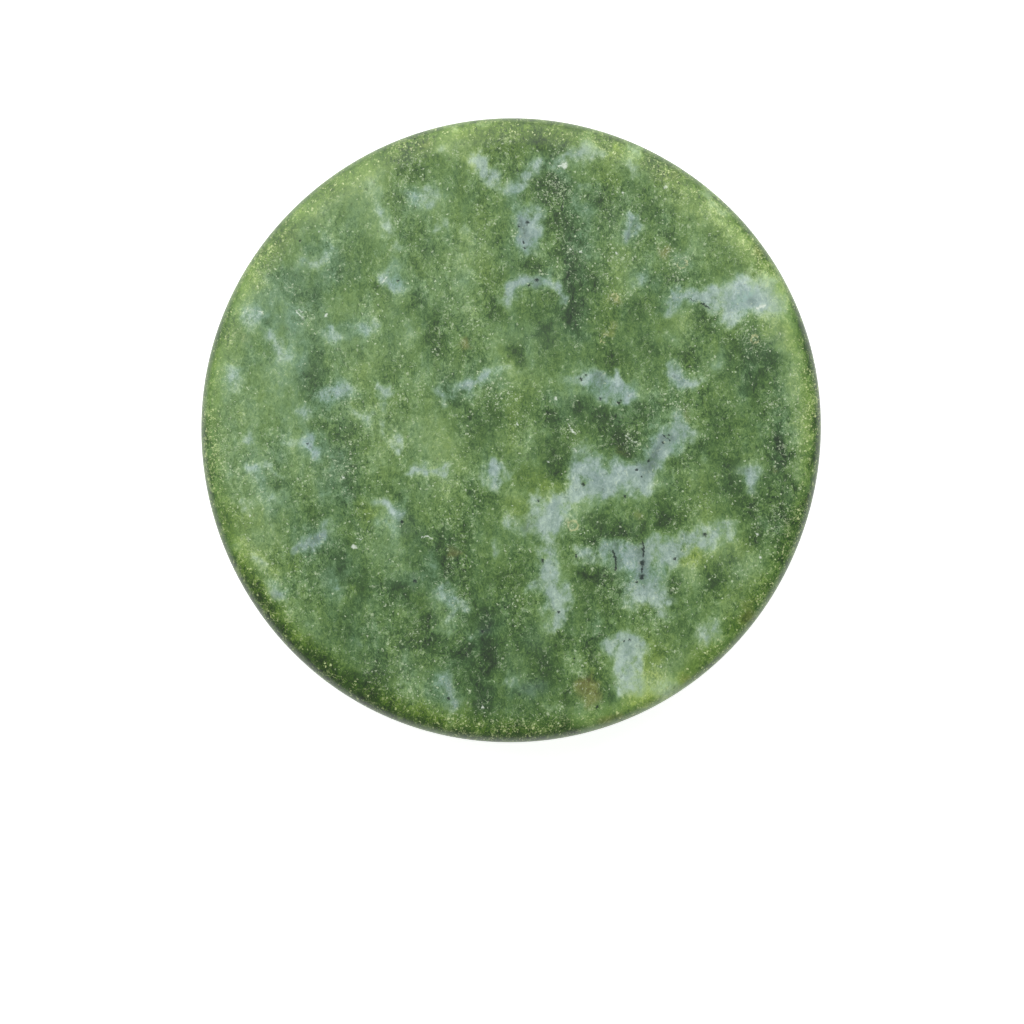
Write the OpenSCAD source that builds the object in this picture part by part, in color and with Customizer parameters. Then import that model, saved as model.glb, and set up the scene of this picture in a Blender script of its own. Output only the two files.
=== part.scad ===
// Polished stone disc.
// A flat round disc cut from one piece of mottled green stone. It rests on either face.
// Both faces are ground flat and polished, and each one rolls off slowly before it turns
// over a tighter arris into the straight rim.
// Millimetres. +Z up. The origin is the centre of the face that the disc rests on.

/* [Disc] */
// Diameter across the rim
disc_d = 50; // [30:0.5:90]
// Thickness from face to face
disc_t = 9; // [6:0.5:30]

/* [Edge] */
// How far in from the rim each face starts to roll off
roll_w = 2.4; // [1.8:0.1:3]
// Radius of the slow roll-off beside the flat face
roll_r = 6; // [5:0.5:12]
// Radius of the tighter arris between the roll-off and the rim
arris_r = 1.2; // [0.5:0.1:1.5]

/* [Hidden] */
$fn = 180;

rim_r = disc_d / 2;
half_t = disc_t / 2;
flat_r = rim_r - roll_w;

// The roll-off and the arris are two circles that touch, so the edge has no crease.
// roll_turn is how far the roll-off turns before the arris takes over.
roll_turn = asin((roll_w - arris_r) / (roll_r - arris_r));
roll_end_x = flat_r + roll_r * sin(roll_turn);
arris_x = rim_r - arris_r;
arris_y = half_t - roll_r + (roll_r - arris_r) * cos(roll_turn);

// Half of the disc's section above its middle plane, to the right of its axis.
module half_section() {
    square([flat_r, half_t]);
    square([rim_r, arris_y]);
    intersection() {
        translate([flat_r, half_t - roll_r]) circle(r = roll_r);
        square([roll_end_x, half_t]);
    }
    translate([arris_x, arris_y]) circle(r = arris_r);
}

// The whole section: the face below the middle plane is ground like the one above it.
module section() {
    half_section();
    mirror([0, 1]) half_section();
}

// The one piece of stone, turned about its axis.
module stone_disc() {
    color("#648650")
        translate([0, 0, half_t])
            rotate_extrude() section();
}

stone_disc();
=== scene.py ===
"""A flat round disc of polished green stone, lying on a plain pale floor in soft studio light.

The stone is one piece. A node tree turns a block of cells into the ground disc, and the
minerals inside it are listed strokes and spots, which fade and lean with depth, so
that the rim and the back carry on the same stone.
"""

import math

import bpy
import numpy as np
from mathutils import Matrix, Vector, noise


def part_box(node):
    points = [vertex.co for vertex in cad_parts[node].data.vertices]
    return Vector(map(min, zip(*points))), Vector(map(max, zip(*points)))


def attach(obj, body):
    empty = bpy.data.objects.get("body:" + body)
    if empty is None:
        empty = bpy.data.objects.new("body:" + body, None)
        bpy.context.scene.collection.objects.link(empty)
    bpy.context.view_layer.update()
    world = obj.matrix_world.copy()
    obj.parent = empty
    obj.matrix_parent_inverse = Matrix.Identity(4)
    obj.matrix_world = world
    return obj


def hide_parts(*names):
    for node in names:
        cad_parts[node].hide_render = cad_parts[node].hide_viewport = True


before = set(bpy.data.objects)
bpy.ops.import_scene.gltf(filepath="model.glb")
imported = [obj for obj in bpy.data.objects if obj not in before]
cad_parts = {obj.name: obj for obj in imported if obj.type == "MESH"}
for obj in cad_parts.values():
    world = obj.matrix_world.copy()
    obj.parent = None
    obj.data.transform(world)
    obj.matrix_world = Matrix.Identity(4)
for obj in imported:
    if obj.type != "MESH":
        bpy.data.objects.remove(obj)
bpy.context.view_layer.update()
disc_low, disc_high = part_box("stone_disc")

MM = 0.001

# ---------------------------------------------------------------- sizes of the ground disc
DIAMETER = disc_high.x - disc_low.x
THICKNESS = disc_high.z - disc_low.z
ROLL_WIDTH = 2.4 * MM
ROLL_RADIUS = 6.0 * MM
ARRIS_RADIUS = 1.2 * MM
CELLS_ACROSS = 232
CELLS_THROUGH = 26


# ---------------------------------------------------------------- writing node trees
class Value:
    """An output socket. Arithmetic on it adds Math nodes to its tree."""

    def __init__(self, graph, socket):
        self.graph = graph
        self.socket = socket

    def __add__(self, other):
        return self.graph.math("ADD", self, other)

    def __radd__(self, other):
        return self.graph.math("ADD", other, self)

    def __sub__(self, other):
        return self.graph.math("SUBTRACT", self, other)

    def __rsub__(self, other):
        return self.graph.math("SUBTRACT", other, self)

    def __mul__(self, other):
        return self.graph.math("MULTIPLY", self, other)

    def __rmul__(self, other):
        return self.graph.math("MULTIPLY", other, self)

    def __truediv__(self, other):
        return self.graph.math("DIVIDE", self, other)

    def __rtruediv__(self, other):
        return self.graph.math("DIVIDE", other, self)

    def __gt__(self, other):
        return self.graph.math("GREATER_THAN", self, other)

    def other(self, name):
        """Another output of the same node."""
        return Value(self.graph, self.socket.node.outputs[name])


class Graph:
    """A node tree and the ways to add to it."""

    def __init__(self, tree):
        self.tree = tree
        self.tree.nodes.clear()

    def add(self, kind, settings=None, values=None, out=0):
        """A node of that kind. Its settings come first, then the values or links of its sockets."""
        node = self.tree.nodes.new(kind)
        for name, setting in (settings or {}).items():
            if name == "stops":
                self.set_stops(node.color_ramp, setting)
            else:
                setattr(node, name, setting)
        for key, value in (values or {}).items():
            if isinstance(value, Value):
                self.tree.links.new(value.socket, node.inputs[key])
            else:
                node.inputs[key].default_value = value
        return Value(self, node.outputs[out]) if len(node.outputs) else node

    @staticmethod
    def set_stops(ramp, stops):
        while len(ramp.elements) < len(stops):
            ramp.elements.new(1.0)
        for element, (place, colour) in zip(ramp.elements, stops):
            element.position = place
            element.color = (*colour, 1.0)

    def math(self, operation, *values):
        return self.add("ShaderNodeMath", {"operation": operation}, dict(enumerate(values)))

    def vector(self, operation, first, second):
        return self.add("ShaderNodeVectorMath", {"operation": operation}, {0: first, 1: second})

    def scaled(self, vector, factor):
        node = {"Vector": vector, "Scale": factor}
        return self.add("ShaderNodeVectorMath", {"operation": "SCALE"}, node)

    def clamped(self, value):
        return self.add("ShaderNodeClamp", None, {0: value})

    def step(self, value, low, high):
        """0 below low, 1 above high and smooth between. With low above high it falls instead."""
        settings = {"interpolation_type": "SMOOTHSTEP"}
        if low < high:
            values = {0: value, 1: low, 2: high, 3: 0.0, 4: 1.0}
        else:
            values = {0: value, 1: high, 2: low, 3: 1.0, 4: 0.0}
        return self.add("ShaderNodeMapRange", settings, values)

    def blend(self, factor, first, second, how="MIX"):
        settings = {"data_type": "RGBA", "blend_type": how}
        return self.add("ShaderNodeMix", settings, {0: factor, 6: first, 7: second}, 2)


# ---------------------------------------------------------------- the ground disc's mesh
def ground_disc_tree():
    """Turns a block of cells into a disc with rolled edges.

    Each square ring of the block becomes a round ring. How far along the section it lies
    says how much of the flat face, the roll-off, the arris and the rim it has passed.
    """
    tree = bpy.data.node_groups.new("ground disc", "GeometryNodeTree")
    graph = Graph(tree)
    sizes = {
        "Diameter": DIAMETER,
        "Thickness": THICKNESS,
        "Roll Width": ROLL_WIDTH,
        "Roll Radius": ROLL_RADIUS,
        "Arris Radius": ARRIS_RADIUS,
    }
    for name in sizes:
        tree.interface.new_socket(name, in_out="INPUT", socket_type="NodeSocketFloat")
    for name in ("Cells Across", "Cells Through"):
        tree.interface.new_socket(name, in_out="INPUT", socket_type="NodeSocketInt")
    tree.interface.new_socket("Finish", in_out="INPUT", socket_type="NodeSocketMaterial")
    tree.interface.new_socket("Geometry", in_out="OUTPUT", socket_type="NodeSocketGeometry")

    inputs = tree.nodes.new("NodeGroupInput")
    given = {socket.name: Value(graph, socket) for socket in inputs.outputs if socket.name}
    half = given["Diameter"] * 0.5
    half_thick = given["Thickness"] * 0.5
    roll_radius = given["Roll Radius"]
    arris_radius = given["Arris Radius"]
    across = given["Cells Across"]
    through = given["Cells Through"]

    block_sizes = {"Size": (2, 2, 2), 1: across + 1, 2: across + 1, 3: through + 1}
    block = graph.add("GeometryNodeMeshCube", None, block_sizes)
    place = graph.add("GeometryNodeInputPosition")
    parts = graph.add("ShaderNodeSeparateXYZ", None, {0: place})
    split = parts.socket.node.outputs
    x = Value(graph, split[0])
    y = Value(graph, split[1])
    z = Value(graph, split[2])

    # The back's inner cells are gathered two by two, because its stone needs less detail.
    cell = 2 / across
    ring = graph.math("MAXIMUM", graph.math("ABSOLUTE", x), graph.math("ABSOLUTE", y))
    inner = (1 - cell * 1.5) > ring
    gathered = inner * ((z * -1) > 0.999)
    x = x + gathered * (graph.math("ROUND", (x + 1) / (cell * 2)) * cell * 2 - 1 - x)
    y = y + gathered * (graph.math("ROUND", (y + 1) / (cell * 2)) * cell * 2 - 1 - y)

    # A square ring becomes a round one.
    x_size = graph.math("ABSOLUTE", x)
    y_size = graph.math("ABSOLUTE", y)
    ring = graph.math("MAXIMUM", x_size, y_size)
    share = graph.math("MINIMUM", x_size, y_size) / graph.math("MAXIMUM", ring, 1e-6)
    turn = share * (math.pi / 4)
    long_part = graph.math("COSINE", turn)
    short_part = graph.math("SINE", turn)
    wide = x_size > y_size
    tall = 1 - wide
    aim_x = graph.math("SIGN", x) * (wide * long_part + tall * short_part)
    aim_y = graph.math("SIGN", y) * (wide * short_part + tall * long_part)

    # The lengths of the section's parts, from the middle of the face outwards.
    flat = half - given["Roll Width"]
    whole_turn = graph.math(
        "ARCSINE", (given["Roll Width"] - arris_radius) / (roll_radius - arris_radius)
    )
    roll_length = roll_radius * whole_turn
    half_arris = arris_radius * (math.pi / 4 - whole_turn)
    whole_arris = arris_radius * (math.pi / 2 - whole_turn)
    face_length = flat + roll_length + half_arris
    arris_drop = roll_radius * (1 - graph.math("COSINE", whole_turn))
    arris_drop = arris_drop + arris_radius * graph.math("COSINE", whole_turn)
    side_length = arris_radius * (math.pi / 4) + half_thick - arris_drop

    # How far along the section this point lies, and what it has passed on the way.
    on_side = 1 - graph.math("ABSOLUTE", z)
    run = ring * face_length + on_side * side_length
    past_flat = graph.math("MAXIMUM", run - flat, 0)
    roll_turn = graph.math("MINIMUM", past_flat, roll_length) / roll_radius
    past_roll = graph.math("MAXIMUM", past_flat - roll_length, 0)
    arris_turn = whole_turn + graph.math("MINIMUM", past_roll, whole_arris) / arris_radius
    past_arris = graph.math("MAXIMUM", past_roll - whole_arris, 0)
    radius = graph.math("MINIMUM", run, flat) + roll_radius * graph.math("SINE", roll_turn)
    radius = radius + arris_radius * (
        graph.math("SINE", arris_turn) - graph.math("SINE", whole_turn)
    )
    drop = roll_radius * (1 - graph.math("COSINE", roll_turn)) + past_arris
    drop = drop + arris_radius * (
        graph.math("COSINE", whole_turn) - graph.math("COSINE", arris_turn)
    )
    height = half_thick + graph.math("SIGN", z) * (half_thick - drop)

    # Ground by hand: the outline wanders from a true circle by a few hundredths.
    angle = graph.math("ARCTAN2", aim_y, aim_x)
    wander = 0
    for lobes, size, peak in WANDERS:
        wander = graph.math("COSINE", (angle - math.radians(peak)) * lobes) * size + wander
    radius = radius * (1 + wander * (ring > 0.5))

    moved = graph.add("ShaderNodeCombineXYZ", None, {0: aim_x * radius, 1: aim_y * radius, 2: height})
    shape = graph.add("GeometryNodeSetPosition", None, {"Geometry": block, "Position": moved})
    shape = graph.add("GeometryNodeMergeByDistance", None, {"Geometry": shape, "Distance": 0.01 * MM})
    shape = graph.add("GeometryNodeSetShadeSmooth", None, {"Geometry": shape})
    shape = graph.add("GeometryNodeRealizeInstances", None, {"Geometry": shape})
    finish = {"Geometry": shape, "Material": given["Finish"]}
    shape = graph.add("GeometryNodeSetMaterial", None, finish)
    tree.links.new(shape.socket, tree.nodes.new("NodeGroupOutput").inputs[0])
    return tree, sizes


# Lobes round the outline, how far they stand as a share of the radius, and where the first
# one peaks, in degrees.
WANDERS = (
    (2, 0.0042, 75),
    (3, 0.0015, 30),
    (5, 0.0008, 20),
)


def make_stone(finish):
    """The stone as a plain mesh."""
    tree, sizes = ground_disc_tree()
    holder = bpy.data.objects.new("stone holder", bpy.data.meshes.new("stone holder"))
    bpy.context.scene.collection.objects.link(holder)
    modifier = holder.modifiers.new("ground disc", "NODES")
    modifier.node_group = tree
    chosen = {**sizes, "Cells Across": CELLS_ACROSS, "Cells Through": CELLS_THROUGH, "Finish": finish}
    for item in tree.interface.items_tree:
        if item.in_out == "INPUT":
            modifier[item.identifier] = chosen[item.name]
    evaluated = holder.evaluated_get(bpy.context.evaluated_depsgraph_get())
    mesh = bpy.data.meshes.new_from_object(evaluated)
    bpy.data.objects.remove(holder)
    mesh.name = "green_stone_disc"
    stone = bpy.data.objects.new("green_stone_disc", mesh)
    bpy.context.scene.collection.objects.link(stone)
    return stone


# ---------------------------------------------------------------- minerals, listed
# Each stroke is its points in millimetres from the middle of the upper face, its half width
# and how strong it is. A spot is a stroke of one point.
PALE = (
    # towards the far edge
    ([(-2.7, 21.6), (-2.0, 20.9), (-1.6, 20.4)], 0.72, 0.90),
    ([(-1.6, 20.0), (-0.8, 19.5), (0.2, 19.4), (1.0, 19.6)], 0.45, 0.50),
    ([(1.4, 20.4), (2.0, 20.9)], 0.60, 0.72),
    ([(4.2, 21.2), (5.2, 22.0), (6.0, 22.6)], 0.60, 0.75),
    ([(6.2, 23.5)], 0.60, 0.60),
    ([(6.9, 21.6), (7.0, 22.3)], 0.38, 0.55),
    ([(6.1, 21.3)], 0.50, 0.30),
    ([(5.6, 19.4)], 0.50, 0.45),
    ([(1.2, 16.7), (1.4, 15.9), (1.6, 15.0)], 1.05, 0.85),
    ([(-0.9, 10.0), (-0.2, 10.8)], 0.50, 0.80),
    ([(0.2, 11.1), (1.0, 11.8)], 0.66, 0.85),
    ([(1.8, 12.1), (2.7, 12.2), (3.5, 11.7)], 0.38, 0.62),
    ([(3.6, 11.6), (3.9, 11.0), (4.1, 10.3)], 0.42, 0.80),
    ([(-8.0, 18.6), (-7.2, 18.3), (-6.4, 18.4)], 0.70, 0.55),
    ([(-6.3, 19.2)], 0.55, 0.45),
    ([(-6.1, 15.8), (-5.4, 16.4)], 0.42, 0.45),
    ([(-4.1, 16.1), (-3.5, 15.9)], 0.40, 0.40),
    ([(-3.7, 14.0), (-3.4, 13.1)], 0.38, 0.42),
    ([(-10.4, 17.1), (-9.8, 16.0), (-9.5, 15.0), (-9.2, 14.2)], 0.60, 0.50),
    ([(-10.1, 11.9), (-9.1, 12.1), (-9.3, 11.4)], 0.62, 0.66),
    ([(-12.0, 8.0), (-11.0, 8.5)], 0.60, 0.45),
    ([(-11.0, 18.6), (-10.7, 19.8), (-11.9, 20.5)], 0.90, 0.28),
    ([(6.2, 17.4)], 0.80, 0.40),
    ([(-5.6, 22.9)], 0.55, 0.40),
    ([(-4.3, 24.0)], 0.35, 0.50),
    ([(-2.5, 24.7), (-1.0, 24.9)], 0.28, 0.50),
    # towards the far right
    ([(9.5, 15.8), (9.7, 16.6), (10.2, 16.2)], 0.62, 0.75),
    ([(9.3, 14.9)], 0.35, 0.45),
    ([(9.6, 22.6), (9.4, 21.6), (9.7, 21.0)], 0.62, 0.65),
    ([(8.0, 20.4)], 0.70, 0.28),
    ([(17.4, 10.5), (18.6, 10.7), (19.8, 10.6), (20.9, 10.8)], 1.20, 0.95),
    ([(17.4, 9.6), (17.2, 8.9), (17.3, 8.4)], 0.58, 0.64),
    ([(20.4, 9.8), (21.2, 9.6)], 0.80, 0.62),
    ([(13.0, 10.8), (14.2, 10.5), (15.4, 10.4), (16.6, 10.5)], 0.56, 0.74),
    ([(12.2, 10.3), (12.7, 9.5)], 0.50, 0.50),
    ([(9.6, 11.6), (10.4, 11.9)], 0.50, 0.42),
    ([(15.5, 18.8), (15.9, 17.8)], 0.46, 0.55),
    ([(16.4, 18.1), (17.2, 17.5)], 0.30, 0.40),
    ([(21.7, 7.0)], 0.55, 0.50),
    ([(18.0, 15.4), (18.8, 14.5), (19.2, 13.4), (20.0, 12.6)], 0.60, 0.35),
    ([(16.6, 16.6), (17.4, 15.8)], 0.50, 0.35),
    # across the middle
    ([(-10.1, 3.5), (-10.2, 2.4), (-10.6, 1.3), (-11.6, 0.8), (-12.4, 1.3)], 0.50, 0.60),
    ([(-8.4, -3.4), (-7.5, -3.2), (-6.4, -3.2), (-5.7, -3.1)], 0.48, 0.82),
    ([(-10.2, 0.2), (-9.6, -0.8), (-9.0, -1.7)], 0.42, 0.58),
    ([(-1.8, -3.1), (-1.6, -3.8)], 0.85, 0.74),
    ([(-0.6, -3.2)], 0.55, 0.50),
    ([(-4.2, 3.3), (-3.2, 3.7), (-2.4, 4.2)], 0.52, 0.70),
    ([(-1.8, 4.6), (-0.6, 5.0), (0.5, 4.9)], 0.38, 0.66),
    ([(-5.9, 2.9), (-5.3, 2.6), (-5.2, 1.8)], 0.48, 0.40),
    ([(-2.8, 2.8), (-2.6, 1.6)], 0.42, 0.32),
    ([(2.9, 4.0)], 0.45, 0.35),
    ([(4.2, 4.3), (5.4, 4.4), (6.4, 4.1), (7.0, 3.6), (7.4, 2.9)], 0.62, 0.60),
    ([(1.8, -1.1), (2.4, -0.5)], 0.42, 0.38),
    ([(-10.5, -5.9), (-9.9, -6.6), (-9.6, -7.4)], 0.62, 0.62),
    ([(-8.7, -7.2)], 0.42, 0.50),
    ([(-8.4, 7.6)], 1.00, 0.28),
    ([(0.2, -7.4), (1.2, -7.7)], 0.80, 0.60),
    # the long vein on the right
    ([(13.7, 0.1), (12.9, -0.5), (12.2, -1.2), (11.5, -2.1), (10.8, -3.0)], 0.95, 0.80),
    ([(10.2, -3.8), (8.8, -3.6), (7.4, -3.8), (6.2, -3.8), (6.0, -3.2)], 1.05, 0.88),
    ([(7.4, -4.6), (5.6, -5.0), (4.2, -5.6), (3.0, -6.4), (2.9, -7.6)], 1.05, 0.90),
    ([(2.0, -5.4)], 0.65, 0.60),
    ([(5.3, -1.2), (6.2, -1.7), (6.6, -2.4)], 0.50, 0.45),
    ([(3.2, -8.4)], 0.50, 0.40),
    ([(10.4, -4.8), (9.8, -5.3)], 0.58, 0.56),
    ([(8.9, 3.8), (9.2, 3.3), (9.7, 2.8)], 0.60, 0.80),
    ([(8.2, 3.1)], 0.62, 0.60),
    ([(13.2, 4.6), (13.6, 3.8), (14.4, 3.6)], 0.62, 0.65),
    ([(12.6, 5.0)], 0.50, 0.40),
    ([(18.6, -3.2), (19.2, -3.8), (19.4, -4.3)], 0.62, 0.80),
    ([(15.5, -2.6)], 0.55, 0.38),
    ([(16.7, -3.7)], 0.45, 0.28),
    ([(22.8, -0.8)], 0.55, 0.32),
    ([(21.8, 0.1)], 0.60, 0.28),
    ([(12.5, 7.2)], 0.90, 0.26),
    ([(16.7, 5.8), (15.6, 4.4)], 0.80, 0.28),
    # the near right
    ([(17.0, -8.2), (15.6, -8.5), (14.0, -9.0), (12.8, -9.6)], 0.78, 0.80),
    ([(13.3, -10.3), (12.4, -10.9)], 0.65, 0.62),
    ([(11.8, -8.6), (11.0, -8.9)], 0.42, 0.50),
    ([(11.6, -9.8), (10.4, -9.8), (9.2, -10.0), (8.2, -9.8)], 0.75, 0.72),
    ([(7.4, -10.2), (6.2, -10.2), (5.4, -10.0)], 0.70, 0.58),
    ([(9.8, -10.8), (10.3, -11.8), (10.8, -12.8), (11.6, -13.6), (12.2, -14.0)], 1.10, 0.80),
    ([(9.3, -12.6), (9.4, -13.8), (9.5, -14.6)], 0.52, 0.50),
    ([(2.6, -9.9), (3.0, -11.2), (3.6, -12.4)], 0.75, 0.78),
    ([(3.7, -13.3), (3.4, -14.6), (3.2, -15.9)], 0.78, 0.80),
    ([(1.8, -12.6)], 0.62, 0.60),
    ([(8.3, -16.9), (9.2, -16.8), (10.0, -17.3)], 0.85, 0.78),
    ([(9.6, -18.4), (9.3, -19.4), (9.3, -20.6)], 0.95, 0.80),
    ([(15.4, -16.6), (16.3, -16.1)], 0.85, 0.72),
    ([(11.7, -20.8), (12.8, -20.3)], 0.66, 0.82),
    ([(19.3, -11.2)], 0.55, 0.30),
    ([(5.2, -18.9)], 0.85, 0.32),
    ([(6.4, -22.4), (5.0, -22.4)], 0.60, 0.32),
    ([(3.2, -22.2)], 0.80, 0.30),
    # the near left
    ([(-5.2, -12.8), (-4.8, -13.6), (-4.1, -13.9)], 0.56, 0.60),
    ([(-4.8, -14.6), (-5.2, -15.4), (-5.5, -16.2)], 0.42, 0.48),
    ([(-14.6, -7.5), (-14.8, -8.4), (-15.3, -9.0)], 0.55, 0.55),
    ([(-16.0, -9.1), (-17.0, -9.3)], 0.50, 0.70),
    ([(-1.7, -9.1), (-1.4, -9.7)], 0.38, 0.52),
    ([(-7.9, -11.9), (-7.1, -12.1)], 0.62, 0.42),
    ([(-6.4, -10.6)], 0.45, 0.32),
    ([(-8.9, -13.6), (-8.6, -14.7)], 0.50, 0.35),
    ([(-14.4, -12.8), (-13.9, -13.4)], 0.52, 0.42),
    ([(-5.4, -19.9), (-5.1, -20.8), (-4.8, -21.6), (-5.0, -22.4), (-4.9, -23.4)], 0.55, 0.50),
    ([(-11.9, -17.3), (-11.0, -17.4)], 0.55, 0.32),
    ([(-9.4, -20.6), (-8.4, -20.3)], 0.50, 0.42),
    ([(-3.2, -16.8), (-2.0, -16.4)], 0.42, 0.42),
    ([(-1.4, -19.7), (-0.3, -19.6), (0.6, -19.8)], 0.38, 0.42),
    ([(1.2, -14.2)], 0.32, 0.42),
    ([(-15.9, -0.9), (-15.4, -1.4)], 0.58, 0.66),
    ([(-17.6, -1.5), (-16.9, -1.0)], 0.50, 0.45),
    ([(-21.2, -0.6)], 0.60, 0.58),
    ([(-20.6, -3.4), (-19.6, -2.7), (-18.8, -3.4)], 0.48, 0.54),
    ([(-21.4, -6.0), (-21.1, -6.8)], 0.52, 0.55),
    ([(-19.2, -5.6)], 0.42, 0.36),
    ([(-20.4, -10.4), (-19.8, -10.9)], 0.45, 0.42),
    ([(-19.4, -13.0), (-18.6, -13.4)], 0.66, 0.66),
    ([(-17.4, -14.4)], 0.55, 0.28),
    ([(-22.8, -9.2), (-22.0, -8.9)], 0.40, 0.42),
    ([(-20.4, -5.4)], 0.80, 0.25),
    # the far left
    ([(-20.9, 9.2)], 0.85, 0.62),
    ([(-19.2, 7.4), (-18.6, 7.0), (-18.3, 5.9)], 0.66, 0.55),
    ([(-14.7, 7.6), (-14.0, 7.2)], 0.52, 0.55),
    ([(-22.6, 4.8), (-22.0, 3.6)], 0.62, 0.45),
    ([(-13.7, 3.3), (-14.5, 2.5)], 0.80, 0.60),
    ([(-16.9, 1.6), (-16.3, 1.3)], 0.52, 0.50),
    ([(-15.5, 13.9), (-14.7, 14.4)], 0.55, 0.45),
    ([(-17.0, 13.4), (-16.2, 13.2)], 0.52, 0.36),
    ([(-24.3, 1.4), (-24.2, 0.6)], 0.25, 0.42),
)
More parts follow.
